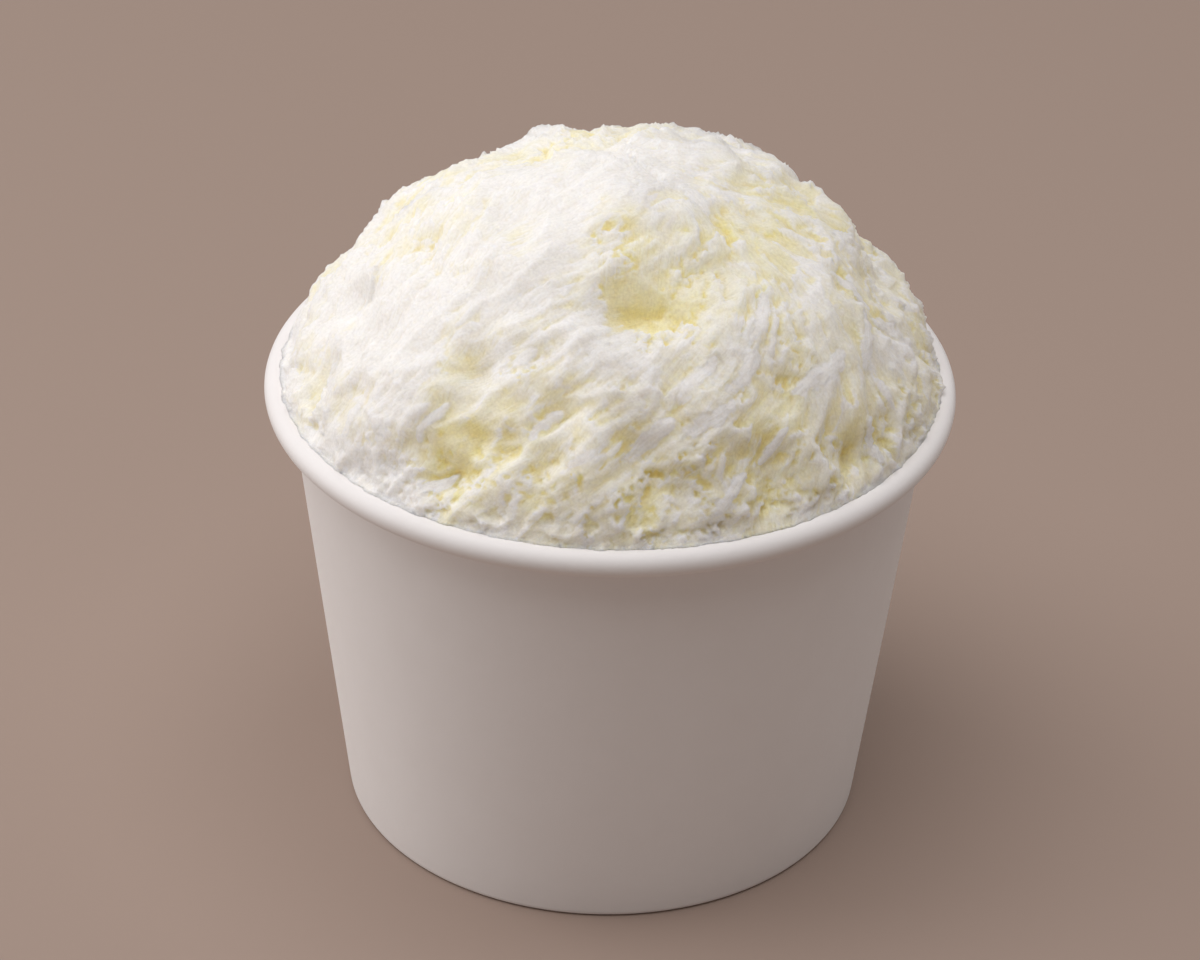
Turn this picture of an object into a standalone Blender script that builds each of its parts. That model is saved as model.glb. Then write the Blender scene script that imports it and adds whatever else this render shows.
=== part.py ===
"""Tub of shaved frozen yogurt, heaped in a plain paper cup with a rolled rim.

Three solids stand in one frame, in metres with +Z up and the cup's foot on z = 0:
the side wall with its rolled rim, the recessed base, and the heap of yogurt that
fills the cup and rises above it. The front of the heap faces -Y.
"""
import math
import random

import bmesh
import bpy
import numpy as np
from mathutils import Vector, noise

MM = 0.001

# Paper cup
CUP_HEIGHT = 67.1 * MM         # foot to the top of the rolled rim
RIM_RADIUS = 48.0 * MM         # outermost line of the rolled rim
BEAD_RADIUS = 1.85 * MM        # outer radius of the roll's section
FOOT_RADIUS = 36.9 * MM        # outer radius of the wall at z = 0
WALL_SLOPE = 0.118             # outward lean of the wall per unit of height
PAPER = 0.42 * MM
FIT_GAP = 0.30 * MM            # clearance between neighbouring solids
BEAD_START = 173.3             # degrees round the roll, where the wall runs into it
BEAD_STEP = 30
BEAD_END = -130                # degrees round the roll, where the paper ends
HEM_HEIGHT = 6.0 * MM          # top of the wall's edge that is folded inwards
SKIRT_FOOT = 1.9 * MM          # lower edge of the base's skirt
BASE_LEVEL = 7.0 * MM          # underside of the base's disc
BASE_CORNER = 0.8 * MM
SEAM_WIDTH = 7.0 * MM          # overlap of the wall's two ends, at the back
SEAM_STEP = 0.2                # degrees over which the overlap rises
CUP_SEGMENTS = 48
POINT_UP = 90.0                # azimuth of the back

# Heap of yogurt: a lifted dome over the rim
HEAP_RADIUS = 45.4 * MM
HEAP_HEIGHT = 35.2 * MM
HEAP_START = 65.65 * MM        # level from which the dome is reckoned
HEAP_LEAN = 2.5 * MM           # how far its top stands to the right, +X
SIDE_POWER = 1.6
TOP_POWER = 1.72
BRIM_ANGLE = 86.0              # degrees down from the top, where the dome meets the rim
NECK_RADIUS = 2.2 * MM         # hollow that keeps the yogurt clear of the roll
RELIEF_FADE = 12.0             # degrees above the brim over which the relief dies out
HEAP_EDGE = 1.90 * MM          # length of the heap's triangles

# Soft bulges and hollows: azimuth, angle down from the top, radius in mm, height in mm
BULGES = (
    (-98, 24, 9.0, 0.7),       # crown above the deep hollow
    (-140, 33, 9.0, 1.0),
    (-135, 61, 10.0, 1.3),     # broad cheek, front left
    (-150, 75, 7.0, 0.8),
    (-101, 44, 6.5, 1.0),
    (-72, 58, 7.0, 1.2),       # streaked fold, front right
    (-42, 52, 8.0, 1.0),
    (-30, 72, 8.0, 0.9),
    (-95, 74, 7.0, 0.9),
    (-8, 45, 9.0, 0.6),
    (30, 40, 8.0, 0.5),
    (20, 74, 6.0, 0.7),
    (62, 60, 9.0, 1.2),
    (78, 38, 8.0, 1.0),
    (122, 36, 6.0, 1.0),
    (110, 70, 9.0, 1.1),
    (150, 44, 8.0, 0.9),
    (164, 57, 5.0, 0.6),
    (160, 80, 6.0, 1.0),
    (20, 76, 5.0, 0.4),
    (176, 76, 7.0, 1.1),
    (-172, 36, 8.0, 0.9),
    (152, 55, 4.0, 0.9),
    (18, 48, 3.0, 1.0),
)
HOLLOWS = (
    (-88, 39, 4.6, 3.4),       # deep hollow below the crown
    (-124, 54, 3.6, 2.4),
    (-121, 77, 3.4, 2.2),
    (-102, 57, 3.4, 1.8),
    (-86, 67, 4.4, 2.6),       # hollow under the lowest ledge
    (-64, 33, 3.6, 1.6),
    (-50, 34, 3.0, 1.3),
    (-75, 40, 3.0, 1.3),
    (-113, 66, 3.4, 1.6),
    (-78, 74, 3.6, 1.6),
    (-60, 71, 3.2, 1.2),
    (-41, 77, 3.4, 1.4),
    (-163, 43, 4.0, 1.1),
    (-153, 58, 4.0, 1.3),
    (0, 58, 5.0, 1.7),
    (45, 55, 5.0, 1.9),
    (80, 52, 5.0, 1.8),
    (128, 56, 5.0, 2.0),
    (150, 32, 4.0, 1.4),
    (-168, 60, 4.0, 1.4),
    (26, 57, 6.0, 1.9),
    (97, 35, 4.0, 0.9),
    (157, 67, 4.0, 1.2),
    (29, 45, 4.0, 1.0),
    (14, 56, 3.5, 1.2),
    (60, 78, 4.0, 1.3),
    (135, 78, 4.0, 1.3),
)
# Slant of the shaved streaks from the uphill line, at evenly spaced azimuths
SLANTS = (-30, 15, 50, 40, 0, -35, -35, -10, 40, 55, 50, -5)
LEDGES = 1.3                   # layers across the swing of the ledge pattern
LEDGE_SIZE = 13.0 * MM
LEDGE_HEIGHT = 0.45 * MM
LEDGE_CLIFF = 0.30             # share of a layer that its broken edge takes up
STREAK_SIZE = 3.6 * MM
STREAK_LENGTH = 12.0 * MM
STREAK_HEIGHT = 0.32 * MM
EVENING = 0.75                 # how far averaging along a streak is allowed to even it out
LUMP_SIZE = 9.0 * MM
LUMP_HEIGHT = 0.7 * MM
SETTLE = 0.8 * MM              # by which the surface has sunk below the dome

# Large shaved flakes fused on, which lie along the surface: azimuth, angle down from the
# top, length in mm, slant from the uphill line
FLAKES = (
    (-47, 59, 10.5, 70),       # bright flake, front right
    (-74, 61, 9.0, 62),        # long strip in two lengths
    (-64, 54, 9.0, 50),
    (-55, 46, 8.0, 50),
    (-86, 64, 8.5, 57),        # strip beside it, also in two
    (-75, 54, 8.5, 50),
    (-96, 46, 8.0, 49),
    (-29, 60, 9.0, 46),
    (-14, 63, 8.0, -32),
    (-61, 69, 6.0, 52),
    (-106, 62, 6.5, 45),
    (-128, 68, 7.0, 20),
    (-116, 40, 7.0, 40),
)
LOOSE_FLAKES = 24
FLAKE_SPACING = 6.5 * MM       # least distance of a loose flake from the others
FLAKE_WIDTH = 0.30             # of its length
FLAKE_HEIGHT = 0.50 * MM       # of its back over the surface
FLAKE_EDGE = 0.20 * MM         # by which its edges are sunk into the surface
FLAKE_KEEL = 1.2 * MM          # depth of its underside in the yogurt
FLAKE_REACH = 0.20             # share of its length that its middle is pushed uphill
FLAKE_BEND = 0.35              # sideways swing, of half its width
FLAKE_SECTIONS = (-0.6, -0.15, 0.3, 0.75)   # places of its sections along half its length
FLAKE_RAGGED = 0.25            # uneven width of the sections
FLAKE_SEED = 11

WHITE_PAPER = (0.80, 0.77, 0.75, 1.0)
YOGURT_WHITE = (0.92, 0.89, 0.80, 1.0)


def clear_scene():
    for item in list(bpy.data.objects):
        bpy.data.objects.remove(item, do_unlink=True)


def finish_material(name, colour, roughness):
    material = bpy.data.materials.new(name)
    material.use_nodes = True
    shader = material.node_tree.nodes["Principled BSDF"]
    shader.inputs["Base Color"].default_value = colour
    shader.inputs["Roughness"].default_value = roughness
    shader.inputs["Metallic"].default_value = 0.0
    return material


def add_object(name, mesh, material, smooth_angle=40.0):
    mesh.shade_smooth()
    mesh.set_sharp_from_angle(angle=math.radians(smooth_angle))
    mesh.materials.append(material)
    item = bpy.data.objects.new(name, mesh)
    bpy.context.scene.collection.objects.link(item)
    return item


# ---------------------------------------------------------------- paper cup

def wall_outside(height):
    """Radius of the wall's outer face at a height."""
    return FOOT_RADIUS + WALL_SLOPE * height


def wall_inside(height):
    return wall_outside(height) - PAPER


def bead_centre():
    return RIM_RADIUS - BEAD_RADIUS, CUP_HEIGHT - BEAD_RADIUS


def wall_path():
    """Middle line of the wall's paper, from the hem over the foot to the roll's end."""
    pitch = PAPER + FIT_GAP                       # from one paper layer to the next
    middle = wall_outside(0) - PAPER / 2
    fold_level = pitch * math.sin(math.radians(60)) + PAPER / 2   # the fold's flat rests at 0
    fold_centre = middle - pitch + WALL_SLOPE * fold_level
    points = [(fold_centre - pitch + WALL_SLOPE * (HEM_HEIGHT - fold_level), HEM_HEIGHT)]
    for turn in (180, 240, 300, 360):
        spin = math.radians(turn)
        points.append((fold_centre + pitch * math.cos(spin), fold_level + pitch * math.sin(spin)))
    centre_radius, centre_level = bead_centre()
    roll = BEAD_RADIUS - PAPER / 2
    for turn in [BEAD_START, *range(150, BEAD_END, -BEAD_STEP), BEAD_END]:
        spin = math.radians(turn)
        points.append((centre_radius + roll * math.cos(spin), centre_level + roll * math.sin(spin)))
    return points


def base_path():
    """Middle line of the base's paper, from the skirt's foot up and in to the axis."""
    skirt = -PAPER - FIT_GAP - PAPER / 2
    disc = BASE_LEVEL + PAPER / 2
    shoulder = wall_outside(disc) + skirt
    return [
        (wall_outside(SKIRT_FOOT) + skirt, SKIRT_FOOT),
        (wall_outside(disc - BASE_CORNER) + skirt, disc - BASE_CORNER),
        (shoulder - 0.3 * BASE_CORNER, disc - 0.3 * BASE_CORNER),
        (shoulder - BASE_CORNER, disc),
        (0.0, disc),
    ]


def paper_section(path):
    """Both faces of a strip of paper that follows a middle line: out one way, back the other."""
    outer, inner = [], []
    for index, (radius, level) in enumerate(path):
        before = path[max(index - 1, 0)]
        after = path[min(index + 1, len(path) - 1)]
        arriving = Vector((radius - before[0], level - before[1])).normalized()
        leaving = Vector((after[0] - radius, after[1] - level)).normalized()
        along = (arriving + leaving).normalized()
        across = Vector((along.y, -along.x))
        bend = across.dot(Vector((leaving.y, -leaving.x))) if index + 1 < len(path) else 1.0
        half = PAPER / 2 / max(bend, 0.5)
        outer.append((radius + half * across.x, level + half * across.y))
        inner.append((radius - half * across.x, level - half * across.y))
    return outer, inner


def columns(with_seam):
    """Azimuths of the cup's columns, and whether the seam's overlap covers each."""
    regular = [(360.0 * step / CUP_SEGMENTS, False) for step in range(CUP_SEGMENTS)]
    if not with_seam:
        return regular
    half = math.degrees(SEAM_WIDTH / 2 / RIM_RADIUS)
    edges = [
        (POINT_UP - half - SEAM_STEP, False), (POINT_UP - half, True),
        (POINT_UP + half, True), (POINT_UP + half + SEAM_STEP, False),
    ]
    marked = [(turn, abs(turn - POINT_UP) < half) for turn, _ in regular]
    return sorted(marked + edges)


def turned_mesh(name, outline, turns, lift_seam=None):
    """Closed solid turned from an outline, whose points on the axis become poles."""
    shell = bmesh.new()
    rings = []
    for index, (radius, level) in enumerate(outline):
        if radius < PAPER / 10:
            rings.append([shell.verts.new((0, 0, level))] * len(turns))
            continue
        ring = []
        for turn, seam in turns:
            reach = radius + (lift_seam(index) if seam and lift_seam else 0.0)
            spin = math.radians(turn)
            ring.append(shell.verts.new((reach * math.cos(spin), reach * math.sin(spin), level)))
        rings.append(ring)
    for lower, upper in zip(rings, rings[1:] + rings[:1]):
        for here in range(len(turns)):
            there = (here + 1) % len(turns)
            corners = [lower[here], lower[there], upper[there], upper[here]]
            corners = list(dict.fromkeys(corners))
            if len(corners) > 2:
                shell.faces.new(corners)
    bmesh.ops.recalc_face_normals(shell, faces=shell.faces)
    bmesh.ops.triangulate(shell, faces=shell.faces)
    mesh = bpy.data.meshes.new(name)
    shell.to_mesh(mesh)
    shell.free()
    return mesh


def build_wall(paper):
    outer, inner = paper_section(wall_path())
    outline = outer + inner[::-1]
    wall_rows = (4, 5)                            # the outer face between foot and roll

    def lift_seam(index):
        return PAPER if index in wall_rows else 0.0

    mesh = turned_mesh("cup_wall", outline, columns(with_seam=True), lift_seam)
    return add_object("cup_wall", mesh, paper)


def build_base(paper):
    outer, inner = paper_section(base_path())
    mesh = turned_mesh("cup_base", outer + inner[::-1], columns(with_seam=False))
    return add_object("cup_base", mesh, paper)


# ---------------------------------------------------------------- heap of yogurt

def dome_points(azimuths, falls):
    """Points of the smooth dome, for azimuths and angles down from the top in degrees."""
    spin = np.radians(azimuths)
    fall = np.radians(falls)
    reach = HEAP_RADIUS * np.sin(fall) ** (2 / SIDE_POWER)
    rise = HEAP_HEIGHT * np.clip(np.cos(fall), 0, None) ** (2 / TOP_POWER)
    lean = HEAP_LEAN * rise / HEAP_HEIGHT
    return np.stack([reach * np.cos(spin) + lean, reach * np.sin(spin), HEAP_START + rise], axis=-1)


def dome_frame(azimuths, falls):
    """Outward, uphill and sideways unit vectors of the dome."""
    step = 0.5
    lower = dome_points(azimuths, np.minimum(falls + step, 90.0))
    upper = dome_points(azimuths, np.maximum(falls - step, 0.0))
    uphill = upper - lower
    uphill /= np.linalg.norm(uphill, axis=-1, keepdims=True)
    spin = np.radians(azimuths)
    side = np.stack([-np.sin(spin), np.cos(spin), np.zeros_like(spin)], axis=-1)
    outward = np.cross(side, uphill)
    return outward, uphill, side


def streak_slants(azimuths):
    """Slant of the shaved streaks from the uphill line, in degrees."""
    knots = np.array(SLANTS + SLANTS[:1], dtype=float)
    return np.interp(np.mod(azimuths, 360.0), np.linspace(0, 360, len(knots)), knots)


def slanted_lines(azimuths, falls, slants):
    """Directions over the dome that lean away from uphill by given slants."""
    _, uphill, side = dome_frame(azimuths, falls)
    slant = np.radians(slants)
    return uphill * np.cos(slant)[:, None] + side * np.sin(slant)[:, None]


def cloud(points, size, seed):
    """Smooth random heights, about -1 to 1, with features of one size."""
    spots = points / size + seed * 17.3
    return np.array([noise.noise(spot) for spot in spots.tolist()]) * 1.6


def streaks(points, lines, size, length, seed, samples=7):
    """The same drawn out along the streaks, by averaging along them."""
    offsets = np.linspace(-0.5, 0.5, samples) * length
    total = sum(cloud(points + lines * offset, size, seed) for offset in offsets)
    return total / samples ** EVENING


def ledge_profile(field, count, cliff):
    """Overlapping layers: each climbs gently and ends in a short broken edge."""
    phase = np.mod(field * count, 1.0)
    climb = phase / (1.0 - cliff)
    drop = (1.0 - phase) / cliff
    return np.minimum(climb, drop)


def smooth_step(low, high, values):
    share = np.clip((values - low) / (high - low), 0.0, 1.0)
    return share * share * (3.0 - 2.0 * share)


def spots(points, table):
    """Sum of soft bulges from a table of azimuth, fall, radius and height."""
    total = np.zeros(len(points))
    for azimuth, fall, radius, height in table:
        centre = dome_points(np.array([float(azimuth)]), np.array([float(fall)]))[0]
        distance = np.linalg.norm(points - centre, axis=1) / (radius * MM)
        total += height * MM * np.exp(-distance ** 2)
    return total


def relief(azimuths, falls):
    """Height of the heap's broken surface over the smooth dome."""
    points = dome_points(azimuths, falls)
    lines = slanted_lines(azimuths, falls, streak_slants(azimuths))
    layers = streaks(points, lines, LEDGE_SIZE, LEDGE_SIZE, seed=3)
    height = LEDGE_HEIGHT * (ledge_profile(layers, LEDGES, LEDGE_CLIFF) - 0.5)
    height += STREAK_HEIGHT * streaks(points, lines, STREAK_SIZE, STREAK_LENGTH, seed=5)
    height += LUMP_HEIGHT * cloud(points, LUMP_SIZE, seed=8)
    height += spots(points, BULGES) - spots(points, HOLLOWS) - SETTLE
    return height * smooth_step(BRIM_ANGLE, BRIM_ANGLE - RELIEF_FADE, falls)


def heap_points(azimuths, falls):
    outward, _, _ = dome_frame(azimuths, falls)
    return dome_points(azimuths, falls) + outward * relief(azimuths, falls)[:, None]


def heap_rings():
    """Rings of azimuths and falls, evenly spaced down the dome from below its top."""
    fine = np.linspace(0.0, BRIM_ANGLE, 400)
    line = dome_points(np.full_like(fine, 180.0), fine)
    length = np.concatenate([[0.0], np.cumsum(np.linalg.norm(np.diff(line, axis=0), axis=1))])
    count = round(length[-1] / (HEAP_EDGE * math.sin(math.radians(60))))
    rings = []
    for ring in range(1, count + 1):
        fall = float(np.interp(length[-1] * ring / count, length, fine))
        radius = HEAP_RADIUS * math.sin(math.radians(fall)) ** (2 / SIDE_POWER)
        number = max(6, round(2 * math.pi * radius / HEAP_EDGE))
        turns = (np.arange(number) + 0.5 * (ring % 2)) * 360.0 / number
        rings.append((turns, np.full(number, fall)))
    return rings


def zip_rings(shell, upper, lower):
    """Triangles between two rings of vertices with any number each, both in azimuth order."""
    def turn_of(vert, first):
        turn = math.atan2(vert.co.y, vert.co.x) - first
        return turn % (2 * math.pi)

    first = math.atan2(upper[0].co.y, upper[0].co.x)
    start = min(range(len(lower)), key=lambda index: turn_of(lower[index], first))
    lower = lower[start:] + lower[:start]
    high, low = 0, 0
    while high < len(upper) or low < len(lower):
        next_high = turn_of(upper[high + 1], first) if high + 1 < len(upper) else 2 * math.pi
        next_low = turn_of(lower[low + 1], first) if low + 1 < len(lower) else 2 * math.pi + 0.001
        here, there = upper[high % len(upper)], lower[low % len(lower)]
        if high < len(upper) and (next_high <= next_low or low >= len(lower)):
            high += 1
            shell.faces.new((here, there, upper[high % len(upper)]))
        else:
            low += 1
            shell.faces.new((here, there, lower[low % len(lower)]))


def cup_ring(shell, radius, level):
    ring = []
    for turn, _ in columns(with_seam=False):
        spin = math.radians(turn)
        ring.append(shell.verts.new((radius * math.cos(spin), radius * math.sin(spin), level)))
    return ring


def heap_mesh():
    """Yogurt from the cup's base up to the broken surface of the heap."""
    shell = bmesh.new()
    top = shell.verts.new(heap_points(np.array([0.0]), np.array([0.0]))[0])
    rings = []
    for turns, falls in heap_rings():
        rings.append([shell.verts.new(point) for point in heap_points(turns, falls)])
    centre_radius, centre_level = bead_centre()
    for turn in (136, 158, 180):
        spin = math.radians(turn)
        radius = centre_radius + NECK_RADIUS * math.cos(spin)
        rings.append(cup_ring(shell, radius, centre_level + NECK_RADIUS * math.sin(spin)))
    floor_level = BASE_LEVEL + PAPER + FIT_GAP
    clearance = centre_radius - NECK_RADIUS - wall_inside(centre_level)
    rings.append(cup_ring(shell, wall_inside(floor_level) + clearance, floor_level))
    bottom = shell.verts.new((0, 0, floor_level))
    for upper, lower in zip(rings, rings[1:]):
        zip_rings(shell, upper, lower)
    for ring, pole in ((rings[0], top), (rings[-1], bottom)):
        for here, there in zip(ring, ring[1:] + ring[:1]):
            shell.faces.new((pole, here, there))
    bmesh.ops.recalc_face_normals(shell, faces=shell.faces)
    mesh = bpy.data.meshes.new("frozen_yogurt")
    shell.to_mesh(mesh)
    shell.free()
    return mesh


def place_under(points):
    """Azimuths and angles down from the top of points near the dome."""
    rise = np.clip((points[:, 2] - HEAP_START) / HEAP_HEIGHT, 0.0, 1.0)
    across = points[:, 0] - HEAP_LEAN * rise
    reach = np.hypot(across, points[:, 1]) / HEAP_RADIUS
    falls = np.degrees(np.arctan2(reach ** (SIDE_POWER / 2), rise ** (TOP_POWER / 2)))
    return np.degrees(np.arctan2(points[:, 1], across)), np.clip(falls, 0.0, BRIM_ANGLE)


def flake_section(spot, half_width, side, outward):
    """Corners round a flake that lies on the surface: its edges, its back and its keel."""
    spots = np.array([spot - half_width * side, spot, spot + half_width * side])
    right, back, left = heap_points(*place_under(spots))
    return [
        right - FLAKE_EDGE * outward,
        back + FLAKE_HEIGHT * outward,
        left - FLAKE_EDGE * outward,
        back - FLAKE_KEEL * outward,
    ]


def flake_mesh(name, number, place, draw):
    """A flat shred of shaved yogurt, pointed at both ends, that follows the surface."""
    turn, drop, length, slant = (np.array([float(value)]) for value in place)
    half = float(length[0]) * MM / 2
    outward = dome_frame(turn, drop)[0][0]
    along = slanted_lines(turn, drop, slant)[0]
    side = np.cross(outward, along)
    middle = dome_points(turn, drop)[0] + 2 * half * FLAKE_REACH * along
    shell = bmesh.new()
    rows = []
    for share in (-1.0, *FLAKE_SECTIONS, 1.0):
        swing = FLAKE_BEND * math.sin(2.2 * share + number)
        spot = middle + half * (share * along - FLAKE_WIDTH * swing * side)
        if abs(share) == 1.0:
            tip = heap_points(*place_under(spot[None]))[0] - FLAKE_EDGE * outward
            rows.append([shell.verts.new(tip)] * 4)
            continue
        width = half * FLAKE_WIDTH * (1.0 - abs(share) ** 3)
        width *= 1.0 + draw.uniform(-FLAKE_RAGGED, FLAKE_RAGGED)
        corners = flake_section(spot, width, side, outward)
        rows.append([shell.verts.new(corner) for corner in corners])
    for near, far in zip(rows, rows[1:]):
        for here in range(4):
            there = (here + 1) % 4
            corners = list(dict.fromkeys([near[here], near[there], far[there], far[here]]))
            shell.faces.new(corners)
    bmesh.ops.recalc_face_normals(shell, faces=shell.faces)
    bmesh.ops.triangulate(shell, faces=shell.faces)
    mesh = bpy.data.meshes.new(name)
    shell.to_mesh(mesh)
    shell.free()
    return mesh


def middle_of(place):
    """Point of the smooth dome under a flake's place."""
    return dome_points(np.array([float(place[0])]), np.array([float(place[1])]))[0]


def flake_places(draw):
    """The hand-placed flakes, then others spread at random over the heap."""
    places = list(FLAKES)
    while len(places) < len(FLAKES) + LOOSE_FLAKES:
        azimuth = draw.uniform(-180, 180)
        fall = math.degrees(math.acos(draw.uniform(0.15, 0.97)))
        spot = middle_of((azimuth, fall))
        if min(np.linalg.norm(spot - middle_of(place)) for place in places) > FLAKE_SPACING:
            slant = float(streak_slants(azimuth))
            places.append((azimuth, fall, draw.uniform(5.0, 8.0), slant))
    return places


def build_flakes(group):
    draw = random.Random(FLAKE_SEED)
    for number, place in enumerate(flake_places(draw)):
        name = f"flake_{number}"
        flake = bpy.data.objects.new(name, flake_mesh(name, number, place, draw))
        group.objects.link(flake)


def drop_scraps(mesh):
    """Remove what the fusing left loose, all but the largest connected body."""
    shell = bmesh.new()
    shell.from_mesh(mesh)
    waiting = set(shell.verts)
    bodies = []
    while waiting:
        body, front = set(), [waiting.pop()]
        while front:
            vert = front.pop()
            body.add(vert)
            for edge in vert.link_edges:
                other = edge.other_vert(vert)
                if other in waiting:
                    waiting.remove(other)
                    front.append(other)
        bodies.append(body)
    bodies.sort(key=len)
    for body in bodies[:-1]:
        bmesh.ops.delete(shell, geom=list(body), context="VERTS")
    shell.to_mesh(mesh)
    shell.free()


def build_yogurt(white):
    heap = add_object("frozen_yogurt", heap_mesh(), white)
    group = bpy.data.collections.new("flakes")
    bpy.context.scene.collection.children.link(group)
    build_flakes(group)
    fuse = heap.modifiers.new("fuse", "BOOLEAN")
    fuse.operation = "UNION"
    fuse.operand_type = "COLLECTION"
    fuse.collection = group
    fuse.solver = "MANIFOLD"
    bpy.context.view_layer.update()
    bpy.context.view_layer.objects.active = heap
    bpy.ops.object.modifier_apply(modifier=fuse.name)
    drop_scraps(heap.data)
    for flake in list(group.objects):
        bpy.data.objects.remove(flake, do_unlink=True)
    bpy.data.collections.remove(group)
    return heap


def main():
    clear_scene()
    paper = finish_material("white_paper", WHITE_PAPER, roughness=0.62)
    white = finish_material("shaved_yogurt", YOGURT_WHITE, roughness=0.75)
    build_wall(paper)
    build_base(paper)
    build_yogurt(white)


main()
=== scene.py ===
"""Looks of the tub of shaved frozen yogurt: the paper tub and the torn heap that fills it."""
from __future__ import annotations

import logging
import math
import random
from dataclasses import dataclass

import bmesh
import bpy
import numpy as np
from bpy.types import Material, Mesh, Node, NodeOutputs, NodeSocket, NodeTree, Object
from mathutils import Matrix, Vector, noise
from mathutils.kdtree import KDTree


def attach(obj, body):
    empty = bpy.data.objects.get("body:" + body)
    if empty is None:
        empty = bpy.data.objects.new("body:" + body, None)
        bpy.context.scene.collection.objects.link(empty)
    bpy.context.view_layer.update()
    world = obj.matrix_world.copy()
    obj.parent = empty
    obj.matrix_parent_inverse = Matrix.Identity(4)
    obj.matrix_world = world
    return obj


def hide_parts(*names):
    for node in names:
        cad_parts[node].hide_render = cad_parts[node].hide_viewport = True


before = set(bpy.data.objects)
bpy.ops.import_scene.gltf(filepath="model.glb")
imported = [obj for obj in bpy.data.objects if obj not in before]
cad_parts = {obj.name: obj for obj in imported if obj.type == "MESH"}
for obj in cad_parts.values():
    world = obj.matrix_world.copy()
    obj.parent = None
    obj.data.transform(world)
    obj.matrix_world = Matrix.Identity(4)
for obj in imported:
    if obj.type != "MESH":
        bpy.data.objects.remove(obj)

LOG = logging.getLogger("tub")
Array = np.ndarray
MM = 0.001
FULL_TURN = 360.0
SEED_SHIFT = 17.3
NOISE_GAIN = 1.6
# A strip shows where its field is above this level.
STRIP_LEVEL = -0.1
# Sockets of a colour mix: its share, the two colours and the result.
MIX_SHARE, MIX_FIRST, MIX_SECOND, MIX_RESULT = 0, 6, 7, 2


# ---- tools of the bench

def clear_selection() -> None:
    """Leave edit mode and select nothing."""
    if bpy.context.object and bpy.context.object.mode != "OBJECT":
        bpy.ops.object.mode_set(mode="OBJECT")
    bpy.ops.object.select_all(action="DESELECT")


def take_up(piece: Object) -> None:
    """Select one piece alone and make it active."""
    clear_selection()
    piece.select_set(True)
    bpy.context.view_layer.objects.active = piece


def open_up(piece: Object) -> None:
    """Take up one piece in edit mode, with all its edges selected."""
    take_up(piece)
    bpy.ops.object.mode_set(mode="EDIT")
    bpy.ops.mesh.select_mode(type="EDGE")
    bpy.ops.mesh.select_all(action="SELECT")


def name_piece(name: str) -> Object:
    """Name the active object and its mesh, and return it."""
    piece = bpy.context.object
    piece.name = name
    piece.data.name = name
    return piece


def mesh_points(mesh: Mesh) -> Array:
    """Coordinates of a mesh's vertices, one row each."""
    flat = np.empty(len(mesh.vertices) * 3)
    mesh.vertices.foreach_get("co", flat)
    return flat.reshape(-1, 3)


def set_mesh_points(mesh: Mesh, points: Array) -> None:
    """Move a mesh's vertices."""
    mesh.vertices.foreach_set("co", np.ascontiguousarray(points, dtype=np.float32).ravel())
    mesh.update()


def store(mesh: Mesh, name: str, values: Array) -> None:
    """Store a number or a vector for each vertex under a name that a material can read."""
    kind, key = ("FLOAT", "value") if values.ndim == 1 else ("FLOAT_VECTOR", "vector")
    layer = mesh.attributes.new(name, kind, "POINT")
    layer.data.foreach_set(key, np.ascontiguousarray(values, dtype=np.float32).ravel())


def smooth_step(low: float, high: float, values: Array) -> Array:
    """Ease from 0 at low to 1 at high."""
    share = np.clip((values - low) / (high - low), 0.0, 1.0)
    return share * share * (3.0 - 2.0 * share)


def grown(pair: tuple, share: Array) -> Array:
    """The pair's first number, and its second times a share on top."""
    return pair[0] + pair[1] * share


def cloud(points: Array, size: float, seed: float) -> Array:
    """Smooth random heights.

    Args:
        points: places in metres, one row each.
        size: size of the features in metres.
        seed: number of the random field.

    Returns:
        A height for each point, about -1 to 1.
    """
    spots = points / size + seed * SEED_SHIFT
    return np.array([noise.noise(spot) for spot in spots.tolist()]) * NOISE_GAIN


def clouds(points: Array, size: float, seeds: tuple) -> Array:
    """Several random fields side by side, one for each seed."""
    return np.stack([cloud(points, size, seed) for seed in seeds], -1)


def streaks(points: Array, lines: Array, size: float, length: float,
            seed: float, samples: int = 7) -> Array:
    """Random heights drawn out along given directions, by averaging along them.

    Args:
        points: places in metres, one row each.
        lines: the direction at each point.
        size: width of the features in metres.
        length: their length in metres.
        seed: number of the random field.
        samples: how many heights are averaged.

    Returns:
        A height for each point, about -1 to 1.
    """
    offsets = np.linspace(-0.5, 0.5, samples) * length
    total = sum(cloud(points + lines * offset, size, seed) for offset in offsets)
    return total / samples ** 0.75


def blur(values: Array, edges: Array, rounds: int) -> Array:
    """Average each value with its neighbours' along a mesh's edges, again and again."""
    here, there = edges[:, 0], edges[:, 1]
    count = np.bincount(here, minlength=len(values)) + np.bincount(there, minlength=len(values)) + 1
    for _ in range(rounds):
        total = np.bincount(here, values[there], len(values))
        total += np.bincount(there, values[here], len(values)) + values
        values = total / count
    return values


def slope_along(values: Array, points: Array, lines: Array,
                edges: Array) -> Array:
    """How fast values rise along given directions, from their differences along a mesh's edges."""
    here, there = edges[:, 0], edges[:, 1]
    step, rise = points[there] - points[here], values[there] - values[here]
    total, weight = np.zeros(len(values)), np.full(len(values), 1e-12)
    for owner in (here, there):
        run = np.einsum("nk,nk->n", step, lines[owner])
        total += np.bincount(owner, rise * run, len(values))
        weight += np.bincount(owner, run * run, len(values))
    return total / weight


# ---- shape of the heap

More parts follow.
